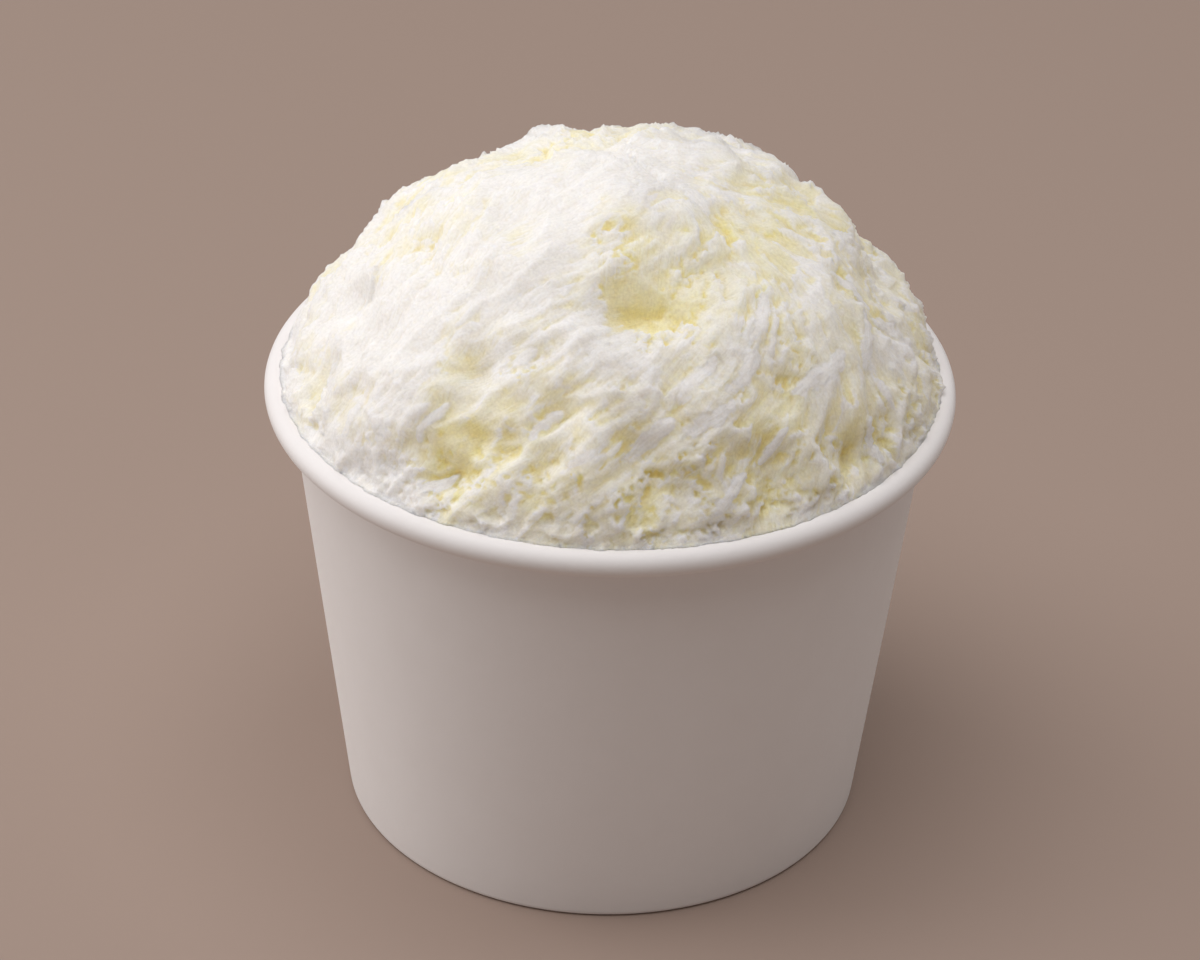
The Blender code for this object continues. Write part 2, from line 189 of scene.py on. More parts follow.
@dataclass(frozen=True)
class HeapForm:
    """The heap's form: a smooth dome and the broken surface over it, as in the part's own heap.

    The slants of the shaved streaks, and how torn the surface is, are given at knots round the
    heap. Bulges and hollows have an azimuth and a fall from the top, in degrees, and a radius
    and a height in millimetres.
    """

    radius: float = 45.4 * MM
    height: float = 35.2 * MM
    start: float = 65.65 * MM
    lean: float = 2.5 * MM
    side_power: float = 1.6
    top_power: float = 1.72
    brim: float = 86.0
    fade: float = 12.0
    ledges: float = 1.3
    ledge_size: float = 13.0 * MM
    ledge_height: float = 0.45 * MM
    ledge_cliff: float = 0.30
    streak_size: float = 3.6 * MM
    streak_length: float = 12.0 * MM
    streak_height: float = 0.32 * MM
    lump_size: float = 9.0 * MM
    lump_height: float = 0.7 * MM
    settle: float = 0.8 * MM
    slants: tuple = (-30, 15, 50, 40, 0, -35, -35, -10, 40, 55, 50, -5)
    torn: tuple = (0.65, 0.7, 0.6, 0.65, 0.75, 0.6, 0.4, 0.25, 0.5, 0.85, 0.85, 0.75)
    bulges: tuple = (
        (-98, 24, 9, 0.7), (-140, 33, 9, 1), (-135, 61, 10, 1.3), (-150, 75, 7, 0.8),
        (-101, 44, 6.5, 1), (-72, 58, 7, 1.2), (-42, 52, 8, 1), (-30, 72, 8, 0.9),
        (-95, 74, 7, 0.9), (-8, 45, 9, 0.6), (30, 40, 8, 0.5), (20, 74, 6, 0.7),
        (62, 60, 9, 1.2), (78, 38, 8, 1), (122, 36, 6, 1), (110, 70, 9, 1.1),
        (150, 44, 8, 0.9), (164, 57, 5, 0.6), (160, 80, 6, 1), (20, 76, 5, 0.4),
        (176, 76, 7, 1.1), (-172, 36, 8, 0.9), (152, 55, 4, 0.9), (18, 48, 3, 1),
    )
    hollows: tuple = (
        (-88, 39, 4.6, 3.4), (-124, 54, 3.6, 2.4), (-121, 77, 3.4, 2.2), (-102, 57, 3.4, 1.8),
        (-86, 67, 4.4, 2.6), (-64, 33, 3.6, 1.6), (-50, 34, 3, 1.3), (-75, 40, 3, 1.3),
        (-113, 66, 3.4, 1.6), (-78, 74, 3.6, 1.6), (-60, 71, 3.2, 1.2), (-41, 77, 3.4, 1.4),
        (-163, 43, 4, 1.1), (-153, 58, 4, 1.3), (0, 58, 5, 1.7), (45, 55, 5, 1.9),
        (80, 52, 5, 1.8), (128, 56, 5, 2), (150, 32, 4, 1.4), (-168, 60, 4, 1.4),
        (26, 57, 6, 1.9), (97, 35, 4, 0.9), (157, 67, 4, 1.2), (29, 45, 4, 1),
        (14, 56, 3.5, 1.2), (60, 78, 4, 1.3), (135, 78, 4, 1.3),
    )

    def dome(self, azimuths: Array, falls: Array) -> Array:
        """Points of the smooth dome.

        Args:
            azimuths: angles round the heap in degrees.
            falls: angles down from its top in degrees.

        Returns:
            The points in metres, one row each.
        """
        spin, fall = np.radians(azimuths), np.radians(falls)
        reach = self.radius * np.sin(fall) ** (2 / self.side_power)
        rise = self.height * np.clip(np.cos(fall), 0, None) ** (2 / self.top_power)
        lean = self.lean * rise / self.height
        return np.stack([reach * np.cos(spin) + lean, reach * np.sin(spin), self.start + rise], -1)

    def spot(self, azimuth: float, fall: float) -> Array:
        """One point of the smooth dome."""
        return self.dome(np.array([azimuth * 1.0]), np.array([fall * 1.0]))[0]

    def directions(self, azimuths: Array, falls: Array) -> tuple:
        """Outward, uphill and sideways unit vectors of the dome."""
        lower = self.dome(azimuths, np.minimum(falls + 0.5, 90.0))
        upper = self.dome(azimuths, np.maximum(falls - 0.5, 0.0))
        uphill = upper - lower
        uphill /= np.linalg.norm(uphill, axis=-1, keepdims=True)
        spin = np.radians(azimuths)
        side = np.stack([-np.sin(spin), np.cos(spin), np.zeros_like(spin)], -1)
        return np.cross(side, uphill), uphill, side

    def patch_axes(self, azimuth: float, fall: float, slant: float) -> tuple:
        """Centre of a patch on the dome, and its directions along, across and outward.

        Args:
            azimuth: angle round the heap in degrees.
            fall: angle down from its top in degrees.
            slant: turn of the patch's long way from uphill, in degrees.

        Returns:
            Four vectors.
        """
        place = np.array([azimuth * 1.0]), np.array([fall * 1.0])
        outward, uphill, side = (axis[0] for axis in self.directions(*place))
        angle = math.radians(slant)
        along = uphill * math.cos(angle) + side * math.sin(angle)
        return self.spot(azimuth, fall), along, np.cross(outward, along), outward

    def around(self, knots: tuple, azimuths: Array) -> Array:
        """A value that changes round the heap, from knots evenly spaced in azimuth."""
        ring = np.array(knots + knots[:1], dtype=float)
        return np.interp(np.mod(azimuths, FULL_TURN), np.linspace(0, FULL_TURN, len(ring)), ring)

    def where(self, points: Array) -> tuple:
        """Azimuths and angles down from the top of points near the dome."""
        rise = np.clip(points[:, 2] - self.start, 0.0, self.height)
        across = points[:, 0] - self.lean * rise / self.height
        share = np.clip(np.hypot(across, points[:, 1]) / self.radius, 0.0, 1.0)
        falls = np.degrees(np.arcsin(share ** (self.side_power / 2)))
        return np.degrees(np.arctan2(points[:, 1], across)), falls

    def lines(self, azimuths: Array, falls: Array, bend: float = 0.0) -> Array:
        """Direction in which the shaved streaks run over the dome, bent by some degrees."""
        _, uphill, side = self.directions(azimuths, falls)
        slant = np.radians(self.around(self.slants, azimuths) + bend)
        return uphill * np.cos(slant)[:, None] + side * np.sin(slant)[:, None]

    def spots(self, points: Array, table: tuple) -> Array:
        """Sum of soft bulges from a table of azimuth, fall, radius and height."""
        total = np.zeros(len(points))
        for azimuth, fall, radius, height in table:
            distance = np.linalg.norm(points - self.spot(azimuth, fall), axis=1) / (radius * MM)
            total += height * MM * np.exp(-distance ** 2)
        return total

    def main_relief(self, azimuths: Array, falls: Array) -> Array:
        """Height of the heap's folds, ledges, bulges and hollows over the dome."""
        points = self.dome(azimuths, falls)
        lines = self.lines(azimuths, falls)
        layers = streaks(points, lines, self.ledge_size, self.ledge_size, seed=3)
        phase = np.mod(layers * self.ledges, 1.0)
        step = np.minimum(phase / (1.0 - self.ledge_cliff), (1.0 - phase) / self.ledge_cliff)
        height = self.ledge_height * (step - 0.5)
        height += self.streak_height * streaks(points, lines, self.streak_size,
                                               self.streak_length, seed=5)
        height += self.lump_height * cloud(points, self.lump_size, seed=8)
        height += self.spots(points, self.bulges) - self.spots(points, self.hollows) - self.settle
        return height * smooth_step(self.brim, self.brim - self.fade, falls)


@dataclass(frozen=True)
class Strips:
    """Long shaved strips that lie on the heap, fine-ridged and ragged.

    The listed ones have an azimuth, fall, length in mm and slant; loose ones are spread at
    random. The window is where a strip can be, in half lengths, half widths and mm outward.
    """

    laid: tuple = (
        (-47, 59, 10.5, 70), (-74, 61, 9.0, 62), (-64, 54, 9.0, 50), (-55, 46, 8.0, 50),
        (-86, 64, 8.5, 57), (-75, 54, 8.5, 50), (-96, 46, 8.0, 49), (-29, 60, 9.0, 46),
        (-14, 63, 8.0, -32), (-61, 69, 6.0, 52), (-106, 62, 6.5, 45), (-128, 68, 7.0, 20),
        (-116, 40, 7.0, 40),
    )
    loose: int = 24
    loose_heights: tuple = (0.15, 0.97)
    loose_lengths: tuple = (5.0, 8.0)
    spacing: float = 6.5 * MM
    width: float = 0.24
    reach: float = 0.20
    seed: int = 11
    height: float = 0.32 * MM
    ridge: float = 0.10 * MM
    ridge_width: float = 0.9
    window: tuple = (1.6, 2.5, 4.0)
    swing: tuple = (0.35, 2.2)
    rough: float = 1.1
    crown: tuple = (0.8, 0.35)

    def places(self, form: HeapForm) -> list:
        """The listed strips, then the others."""
        draw = random.Random(self.seed)
        places = list(self.laid)
        middles = [form.spot(azimuth, fall) for azimuth, fall, _, _ in places]
        while len(places) < len(self.laid) + self.loose:
            azimuth = draw.uniform(-180, 180)
            fall = math.degrees(math.acos(draw.uniform(*self.loose_heights)))
            spot = form.spot(azimuth, fall)
            if min(np.linalg.norm(spot - other) for other in middles) > self.spacing:
                slant = float(form.around(form.slants, np.array([azimuth]))[0])
                places.append((azimuth, fall, draw.uniform(*self.loose_lengths), slant))
                middles.append(spot)
        return places

    def lay(self, form: HeapForm, points: Array) -> tuple:
        """Find each point's place on the strips.

        Args:
            form: the heap's form.
            points: points of the smooth dome.

        Returns:
            The strips' field (above 0 on a strip), the height they add, and
            coordinates along and across the strip in millimetres.
        """
        field = np.full(len(points), -3.0)
        height, local = np.zeros(len(points)), np.zeros((len(points), 3))
        lines = form.lines(*form.where(points))
        rough = 0.6 * cloud(points, 1.3 * MM, 95) + 0.6 * streaks(points, lines, 0.7 * MM, 3.0 * MM, 96)
        for number, (azimuth, fall, length, slant) in enumerate(self.places(form)):
            centre, along, aside, outward = form.patch_axes(azimuth, fall, slant)
            offset = (points - centre) / MM - self.reach * length * along
            u = offset @ along / (0.5 * length)
            v = offset @ aside / (0.5 * self.width * length)
            far, wide, off = self.window
            near = (np.abs(u) < far) & (np.abs(v) < wide) & (np.abs(offset @ outward) < off)
            bend = self.swing[0] * np.sin(self.swing[1] * u + number)
            shape = 1.0 - np.abs(v + bend) ** 1.5 - np.abs(u) ** 3 + self.rough * rough
            take = near & (shape > field)
            field[take] = shape[take]
            across = (v + bend) * 0.5 * self.width * length
            ridges = np.sin(across * 2 * math.pi / self.ridge_width + 3.0 * rough)
            raised = smooth_step(-0.1, 0.5, shape) * grown(self.crown, u) * self.height
            raised = raised + smooth_step(0.0, 0.4, shape) * ridges * self.ridge
            height[take] = raised[take]
            place = np.stack([u * 0.5 * length, across, np.full(len(points), 7.0 * number)], -1)
            local[take] = place[take]
        return np.clip(field, -3.0, 3.0), height, local


# ---- the torn surface

@dataclass(frozen=True)
class SheetLayer:
    """One layer of torn sheets: how much it covers and how thick it is, how far its fibres turn
    in degrees, and how far it follows the drifts and its own ragged field."""

    cover: float
    thickness: float
    bend: float
    seed: float
    drift: float
    ragged: float


@dataclass(frozen=True)
class Ground:
    """Places on the heap, and what is known of them before the fine surface is laid: how torn
    they are, how deep in a hollow or a pit, and how much yogurt drifted there."""

    form: HeapForm
    azimuths: Array
    falls: Array
    edges: Array
    points: Array
    lines: Array
    warped: Array
    torn: Array
    hollow: Array
    drift: Array
    pits: Array


@dataclass(frozen=True)
class TornFinish:
    """Fine torn surface of shaved yogurt: ragged white sheets over a smooth, yellower inside.

    Growths and lifts are a pair: the weight where a share is 0, and what the share adds.
    Octaves have a size in mm, a stretch and a weight. Drifts have an azimuth, fall, radius in
    mm, strength and slant, and pit spots the same without a slant. A cover thins or thickens
    the sheets, and a tint says how yellow a place is; the dip, hollow, pit and under tints are
    painted shade in recesses and below torn edges.
    """

    sheets: tuple = (
        SheetLayer(-0.05, 0.60 * MM, 0.0, 11.0, 1.9, 0.8),
        SheetLayer(-0.40, 0.36 * MM, 18.0, 23.0, 1.0, 1.0),
        SheetLayer(-0.65, 0.30 * MM, -16.0, 37.0, 0.6, 1.0),
    )
    octaves: tuple = ((6.0, 2.2, 1.0), (2.8, 2.8, 0.6), (1.4, 3.4, 0.36), (0.75, 4.0, 0.30))
    crisp: float = 0.28
    soft: float = 1.6
    # The lip sets how far a torn edge's raised rim and its painted highlight reach.
    lip: float = 0.8
    rest: float = 0.22
    warp_size: float = 5.0 * MM
    warp: float = 1.4 * MM
    tuft_size: float = 5.0 * MM
    tuft_height: float = 0.44 * MM
    tuft_growth: tuple = (0.6, 0.4)
    crumb_size: float = 1.6 * MM
    small_crumb_size: float = 0.8 * MM
    crumb_height: float = 0.09 * MM
    crumb_growth: tuple = (0.8, 0.6)
    fibre_size: float = 0.6 * MM
    fibre_length: float = 3.2 * MM
    fibre_height: float = 0.07 * MM
    fibre_growth: tuple = (0.3, 0.7)
    comb_size: float = 0.95 * MM
    comb_length: float = 9.0 * MM
    comb_height: float = 0.10 * MM
    comb_growth: tuple = (0.25, 0.75)
    comb_cover: float = 0.55
    comb_glow: float = 0.15
    crags: tuple = (1.3, 1.7, 1.8, 1.8, 1.8, 1.8, 1.9, 1.8, 1.5, 1.2, 1.15, 1.15)
    drifts: tuple = (
        (-88, 38, 3.2, -0.9, 60), (-86, 24, 6, -0.35, 20), (-43, 26, 3, -0.8, 40),
        (-128, 50, 4.2, -1.1, 10), (-104, 55, 3.4, -0.7, 30), (-87, 64, 4.4, -1, 50),
        (-82, 74, 4, -0.8, 30), (-121, 74, 4, -0.9, -20), (-113, 64, 4, -0.8, 0),
        (-35, 40, 4, -0.7, 30), (-33, 60, 4.5, -0.6, 40), (-40, 72, 4, -0.7, 40),
        (-61, 60, 3.6, -0.7, 45), (-63, 67, 3.6, -0.8, 45), (-72, 38, 3, -0.6, 40),
        (-104, 17, 5, -0.4, 0), (-41, 17, 5, -0.4, 0), (-167, 56, 4.5, -0.5, -20),
        (-148, 46, 3.6, -0.7, 10), (-136, 50, 3, -0.7, 20),
        (-130, 38, 3, -0.6, 0), (-150, 32, 4, -0.6, 60), (-126, 65, 3, -0.7, -20),
        (-142, 74, 3.6, -0.7, 0), (-160, 70, 3.6, -0.6, 10), (-172, 50, 4, -0.6, 10),
        (-64, 81, 4, -0.6, 30), (-102, 80, 4, -0.5, 0),
        (-115, 40, 7, 0.9, -10), (-114, 30, 6, 0.7, 0), (-100, 46, 4, 0.8, 30),
        (-83, 55, 6.5, 1, 55), (-73, 51, 6, 0.9, 50), (-74, 63, 5, 0.8, 60),
        (-96, 70, 6, 0.8, 20), (-135, 62, 6, 0.8, 0), (-92, 14, 7, 0.8, 0),
        (-70, 26, 4, 0.7, 20), (-32, 50, 5, 0.7, 30), (-48, 47, 4.5, 0.7, 35),
        (-47, 59, 4, 0.7, 60), (-150, 60, 5, 0.7, 10), (-160, 45, 6, 0.8, 0),
        (10, 45, 6, -0.7, 30), (40, 60, 5.5, -0.8, 0), (75, 45, 5, -0.8, 20),
        (110, 60, 5.5, -0.8, -20), (145, 50, 5, -0.6, 10), (170, 68, 5, -0.7, -20),
        (25, 35, 6, 0.7, 0), (60, 50, 6, 0.8, 20), (95, 62, 6, 0.8, 0),
        (125, 45, 6, 0.8, -20), (155, 65, 6, 0.7, 0),
    )
    drift_height: float = 0.25 * MM
    drift_stretch: float = 1.5
    drift_frost: float = 0.25
    drift_range: tuple = (-1.1, 0.9)
    pit_size: float = 2.6 * MM
    small_pit_size: float = 1.5 * MM
    pit_radii: tuple = (0.40, 0.36)
    pit_depth: float = 0.28 * MM
    pit_cover: float = 2.2
    pit_spots: tuple = (
        (-43, 27, 4, 1.2), (-64, 33, 4, 1.2), (-75, 39, 3, 1), (-115, 57, 3, 1.2),
        (-111, 68, 4, 1), (-82, 75, 5, 1.2), (-74, 70, 4, 1), (-105, 75, 4, 1),
        (-61, 64, 3, 0.8), (-38, 74, 4, 0.8), (-120, 35, 6, -1), (-150, 55, 9, -1),
    )
    spill: float = 0.45 * MM
    spill_bias: float = 0.3
    patches: int = 150
    frost_start: float = 1.3
    frost_torn: float = 1.7
    # Painted light: whiter near the brim, to lift the shaded foot of the heap at the roll.
    painted_light_at_brim: float = 0.35
    brim_band: tuple = (9.0, 1.0)
    hollow_depth: float = 3.0 * MM
    tear_cover: float = 0.9
    even_tear: float = 0.6
    front_slopes: tuple = (-0.25, 0.2)
    hollow_front: float = 0.4
    hollow_range: tuple = (0.15, 0.8)
    sheet_lift: tuple = (0.4, 0.6)
    lip_lift: tuple = (0.6, 0.7)
    under: float = 0.5
    # Painted shade: the dip, hollow, pit and under tints yellow the recesses and the places below torn
    # edges.
    dip: tuple = (-0.05 * MM, 0.55 * MM)
    dip_tint: float = 0.35
    hollow_tint: float = 0.38
    pit_tint: float = 0.45
    soft_tint: float = 0.30
    thin_tint: float = 0.28
    under_tint: float = 0.35

    def ground(self, form: HeapForm, azimuths: Array, falls: Array,
               edges: Array) -> Ground:
        """Work out what the fine surface depends on."""
        points = form.dome(azimuths, falls)
        torn = form.around(form.torn, azimuths) + 0.30 * cloud(points, 11 * MM, seed=31)
        torn = np.clip(0.25 + (torn - 0.25) * smooth_step(2.0, 26.0, falls), 0.1, 1.0)
        warped = points + self.warp * clouds(points, self.warp_size, (51, 52, 53))
        hollow = form.spots(points, form.hollows) / self.hollow_depth
        return Ground(form, azimuths, falls, edges, points, form.lines(azimuths, falls), warped, torn,
                      np.clip(hollow, 0.0, 1.1) ** 1.6, self.drifted(form, warped),
                      self.pits(form, points, falls, torn))

    def drifted(self, form: HeapForm, warped: Array) -> Array:
        """Drifts of loose yogurt (above 0) and thin places between them (below 0)."""
        total = np.zeros(len(warped))
        for azimuth, fall, radius, strength, slant in self.drifts:
            centre, along, aside, outward = form.patch_axes(azimuth, fall, slant)
            offset = (warped - centre) / (radius * MM)
            long, wide = offset @ along / self.drift_stretch, offset @ aside
            total += strength * np.exp(-long ** 2 - wide ** 2 - (offset @ outward) ** 2)
        return total

    def pits(self, form: HeapForm, points: Array, falls: Array,
             torn: Array) -> Array:
        """Clusters of small round torn holes, 0 outside them and 1 in their bottoms."""
        warp = clouds(points, 0.9 * MM, (43, 44, 45))
        total = np.zeros(len(points))
        for size, radius in zip((self.pit_size, self.small_pit_size), self.pit_radii):
            spots = (points + 0.45 * MM * warp) / size
            nearest = np.array([noise.voronoi(spot)[0][0] for spot in spots.tolist()])
            total = np.maximum(total, 1.0 - smooth_step(0.5 * radius, radius, nearest))
        zone = cloud(points, 8 * MM, seed=61) + 0.5 * smooth_step(64, 80, falls) + 0.6 * (torn - 0.6)
        zone += form.spots(points, self.pit_spots) / MM
        return total * smooth_step(0.35, 0.85, zone)

    def ragged(self, points: Array, lines: Array, seed: float) -> Array:
        """A random field of ragged patches drawn out along the fibres, with a spread of 1."""
        total = np.zeros(len(points))
        for size, stretch, weight in self.octaves:
            layer = streaks(points, lines, size * MM, size * stretch * MM, seed + size)
            total += weight * layer / layer.std()
        return (total - total.mean()) / total.std()

    def tufts(self, points: Array, lines: Array) -> Array:
        """Soft tufts with creases between them, about -1 to 1."""
        wide = streaks(points, lines, self.tuft_size, 1.6 * self.tuft_size, 41)
        return 1.0 - 2.2 * np.sqrt(np.abs(wide) + 0.02) + 0.5 * cloud(points, self.tuft_size, 42)

    def frosted(self, ground: Ground) -> Array:
        """Frosted whiteness of the surface, from 0 to 1: more where it is whole or drifted, less in
        hollows as painted shade, and more near the brim as painted light.
        """
        frost_and_painted_light = np.clip(self.frost_start - self.frost_torn * ground.torn
                        + 0.25 * cloud(ground.points, 5 * MM, 33), 0.0, 0.9)
        # Painted shade: less frosted white in the hollows.
        frost_and_painted_light *= 1.0 - 0.6 * ground.hollow
        low, high = (ground.form.brim - angle for angle in self.brim_band)
        # Whiter on drifts, and painted light near the brim that lifts the shaded foot of the heap.
        frost_and_painted_light += self.drift_frost * ground.drift + self.painted_light_at_brim * smooth_step(low, high, ground.falls)
        return np.clip(frost_and_painted_light, 0.0, 0.95)

    def lay_sheets(self, ground: Ground, comb: Array, frost_and_painted_light: Array) -> tuple:
        """Lay the layers of sheets.

        Args:
            ground: the places and what they are like.
            comb: the combed pattern.
            frost_and_painted_light: the frosted whiteness, with painted light near the brim and painted
                shade in hollows.

        Returns:
            The sheets' height, how near a place is below a torn edge, fields, and whiteness with a
            painted highlight along each torn edge.
        """
        height, under = np.zeros(len(ground.points)), np.zeros(len(ground.points))
        fields, glows = [], []
        for sheet in self.sheets:
            lines = ground.form.lines(ground.azimuths, ground.falls, sheet.bend)
            field = sheet.ragged * self.ragged(ground.warped, lines, sheet.seed) + sheet.cover
            field += self.tear_cover * (self.even_tear - ground.torn) - self.pit_cover * ground.pits \
                + sheet.drift * np.clip(ground.drift, *self.drift_range)
            field += self.comb_cover * comb
            slope = slope_along(blur(field, ground.edges, 4), ground.points, lines, ground.edges) * MM
            front = 1.0 - smooth_step(*self.front_slopes, slope)
            front = np.maximum(front, self.hollow_front * smooth_step(*self.hollow_range, ground.hollow))
            edge = self.soft + (self.crisp - self.soft) * front
            lip = front * np.exp(-np.abs(field) / self.lip)
            height += sheet.thickness * grown(self.sheet_lift, ground.torn) * (
                smooth_step(-edge, edge, field) * grown(self.lip_lift, lip))
            below = np.exp(-np.abs(field + self.under) / self.under) * (field < 0)
            under = np.maximum(under, front * below)
            fields.append(np.clip(field / edge, -4.0, 4.0))
            # Whiteness: a painted highlight along the torn edge (the lip), over the sheet's rest, the
            # frosted white and the combing.
            glow = self.rest + (1.0 - self.rest) * lip + frost_and_painted_light + self.comb_glow * comb
            glows.append(np.clip(glow, 0.0, 1.0))
        return height, under, fields, glows

    def roughen(self, ground: Ground, comb: Array, height: Array) -> None:
        """Add fibres, crumbs, tufts, the combed pattern, pits and drifts to a height."""
        points, torn = ground.points, ground.torn
        fibres = streaks(points, ground.lines, self.fibre_size, self.fibre_length, 77, samples=9)
        height += self.fibre_height * fibres * grown(self.fibre_growth, torn)
        crumbs = np.abs(cloud(ground.warped, self.crumb_size, 71))
        crumbs = crumbs + 0.5 * np.abs(cloud(points, self.small_crumb_size, 72))
        crags = ground.form.around(self.crags, ground.azimuths)
        height += self.crumb_height * (crumbs - 0.5) * grown(self.crumb_growth, torn) * crags
        tufts = self.tufts(ground.warped, ground.lines)
        height += self.tuft_height * tufts * grown(self.tuft_growth, torn) * crags
        height += self.comb_height * comb
        height -= self.pit_depth * ground.pits
        height += self.drift_height * np.clip(ground.drift, -1.0, 1.0)
        height -= height.mean()

    def at_the_brim(self, ground: Ground, height: Array) -> Array:
        """The height, faded out at the brim, with the yogurt that spills over the roll."""
        points, falls, brim = ground.points, ground.falls, ground.form.brim
        height = height * smooth_step(brim + 0.5, brim - 3.0, falls)
        over = cloud(points, 3.0 * MM, 81) + 0.5 * cloud(points, 1.1 * MM, 82) + self.spill_bias
        over = np.clip(over, 0.0, 1.2)
        return height + self.spill * over * smooth_step(brim - 7.0, brim, falls)

    def yellowness(self, ground: Ground, height: Array, under: Array) -> Array:
        """How yellow each place is, from 0 to 1: painted shade in dips, hollows, pits and under
        torn edges, and yellower soft patches and thin places between drifts.
        """
        dips = blur(height, ground.edges, 60) - height
        soft = streaks(ground.warped, ground.lines, 3.6 * MM, 7.0 * MM, 83) * 2.6 + ground.torn - 0.6
        # Painted shade: yellower in dips below the blurred surface, in hollows and in pits.
        tint_and_painted_shade = self.dip_tint * smooth_step(*self.dip, dips) + self.hollow_tint * ground.hollow ** 2 \
            + self.pit_tint * ground.pits
        thin = np.clip(-ground.drift, 0.0, 1.0)
        tint_and_painted_shade += self.soft_tint * smooth_step(0.0, 1.2, soft) + self.thin_tint * thin ** 1.5
        # Painted shade just below the torn edges.
        tint_and_painted_shade += self.under_tint * under
        return np.clip(tint_and_painted_shade, 0.0, 1.0)

    def relief(self, ground: Ground, strips: tuple) -> tuple:
        """Fine height over the main relief, and the masks that colour it.

        Args:
            ground: the places and what they are like.
            strips: field, height and coordinates of the strips at these places.

        Returns:
            Heights in metres, the sheets' fields (above 0 on a sheet), and from 0 to 1 their
            whiteness with painted highlights on torn edges, the yellow tint with painted shade in
            recesses, and the frosted whiteness with painted light near the brim and painted shade in
            hollows.
        """
        frost_and_painted_light = self.frosted(ground)
        comb = streaks(ground.points, ground.lines, self.comb_size, self.comb_length, 66, samples=11)
        comb *= grown(self.comb_growth, np.clip(ground.drift, 0.0, 1.0)) / comb.std()
        height, under, fields, glows = self.lay_sheets(ground, comb, frost_and_painted_light)
        self.roughen(ground, comb, height)
        field, raised, _ = strips
        height = np.where(field > STRIP_LEVEL, 0.5 * height, height) + raised
        height = self.at_the_brim(ground, height)
        tint_and_painted_shade = self.yellowness(ground, height, under)
        return height, np.stack(fields, -1), np.stack(glows, -1), tint_and_painted_shade, frost_and_painted_light

    def fibre_patches(self, form: HeapForm, points: Array, seed: int) -> tuple:
        """Cut the surface into patches whose fibres run straight, each with its own coordinates.

        Args:
            form: the heap's form.
            points: points of the smooth dome.
            seed: seed of the patches' places.

        Returns:
            Coordinates along, across and out of each patch in millimetres, and the
            distance from the patch's edge in millimetres.
        """
        draw = np.random.default_rng(seed)
        azimuths = draw.uniform(-180.0, 180.0, self.patches)
        falls = np.degrees(np.arccos(1.0 - 0.98 * draw.random(self.patches)))
        centres = form.dome(azimuths, falls)
        outward, _, _ = form.directions(azimuths, falls)
        along = form.lines(azimuths, falls, draw.normal(0.0, 14.0, self.patches))
        frames = np.stack([along, np.cross(outward, along), outward], 1)
        shift = draw.uniform(0.0, 400.0, (self.patches, 3))
        tree = KDTree(self.patches)
        for index, centre in enumerate(centres.tolist()):
            tree.insert(centre, index)
        tree.balance()
        found = [tree.find_n(point, 2) for point in points.tolist()]
        owner = np.array([pair[0][1] for pair in found])
        margin = np.array([pair[1][2] - pair[0][2] for pair in found]) / MM
        local = np.einsum("nk,njk->nj", points - centres[owner], frames[owner]) / MM
        return local + shift[owner], margin


# ---- finishes

class NodeSheet:
    """A node tree that is wired up with short calls."""

    def __init__(self, tree: NodeTree) -> None:
        """Keep the tree."""
        self.tree = tree

    def add(self, kind: str, inputs: dict | None = None, **settings) -> Node:
        """Add a node.

        Args:
            kind: the node's type.
            inputs: by name or number, a value or the socket that feeds the input.
            settings: the node's own properties.

        Returns:
            The node.
        """
        node = self.tree.nodes.new(kind)
        for key, value in settings.items():
            setattr(node, key, value)
        self.feed(node, inputs or {})
        return node

    def feed(self, node: Node, inputs: dict) -> None:
        """Set a node's inputs, or link them where a socket is given."""
        for key, value in inputs.items():
            if isinstance(value, NodeSocket):
                self.tree.links.new(value, node.inputs[key])
            else:
                node.inputs[key].default_value = value

    def math(self, operation: str, *inputs, **settings) -> NodeSocket:
        """The result of an operation on numbers or sockets."""
        node = self.add("ShaderNodeMath", dict(enumerate(inputs)), operation=operation, **settings)
        return node.outputs["Value"]

    def stored(self, name: str, output: str = "Fac") -> NodeSocket:
        """A value that the piece's mesh stores under a name."""
        return self.add("ShaderNodeAttribute", attribute_name=name).outputs[output]

    def blend(self, share: NodeSocket, first: tuple | NodeSocket,
              second: tuple) -> NodeSocket:
        """A mix of two colours."""
        inputs = {MIX_SHARE: share, MIX_FIRST: first, MIX_SECOND: second}
        return self.add("ShaderNodeMix", inputs, data_type="RGBA").outputs[MIX_RESULT]


def new_material(name: str) -> tuple:
    """A material with only a Principled shader; returns it, its sheet and the shader."""
    material = bpy.data.materials.new(name)
    material.use_nodes = True
    shader = material.node_tree.nodes["Principled BSDF"]
    return material, NodeSheet(material.node_tree), shader


class SharedPattern:
    """A node group of number sockets that several materials use."""

    name = ""
    inputs: tuple = ()
    output = "Height"

    def wire(self, sheet: NodeSheet, given: NodeOutputs) -> NodeSocket:
        """Wire the pattern up from its inputs, and return its result."""
        raise NotImplementedError

    def use(self, sheet: NodeSheet, inputs: dict) -> NodeSocket:
        """Add the group to a material, and return its result."""
        group = bpy.data.node_groups.get(self.name) or self.build()
        return sheet.add("ShaderNodeGroup", inputs, node_tree=group).outputs[self.output]

    def build(self) -> NodeTree:
        """Build the group."""
        group = bpy.data.node_groups.new(self.name, "ShaderNodeTree")
        for name in self.inputs:
            group.interface.new_socket(name, in_out="INPUT", socket_type="NodeSocketFloat")
        group.interface.new_socket(self.output, in_out="OUTPUT", socket_type="NodeSocketFloat")
        sheet = NodeSheet(group)
        result = self.wire(sheet, sheet.add("NodeGroupInput").outputs)
        sheet.add("NodeGroupOutput", {self.output: result})
        return group


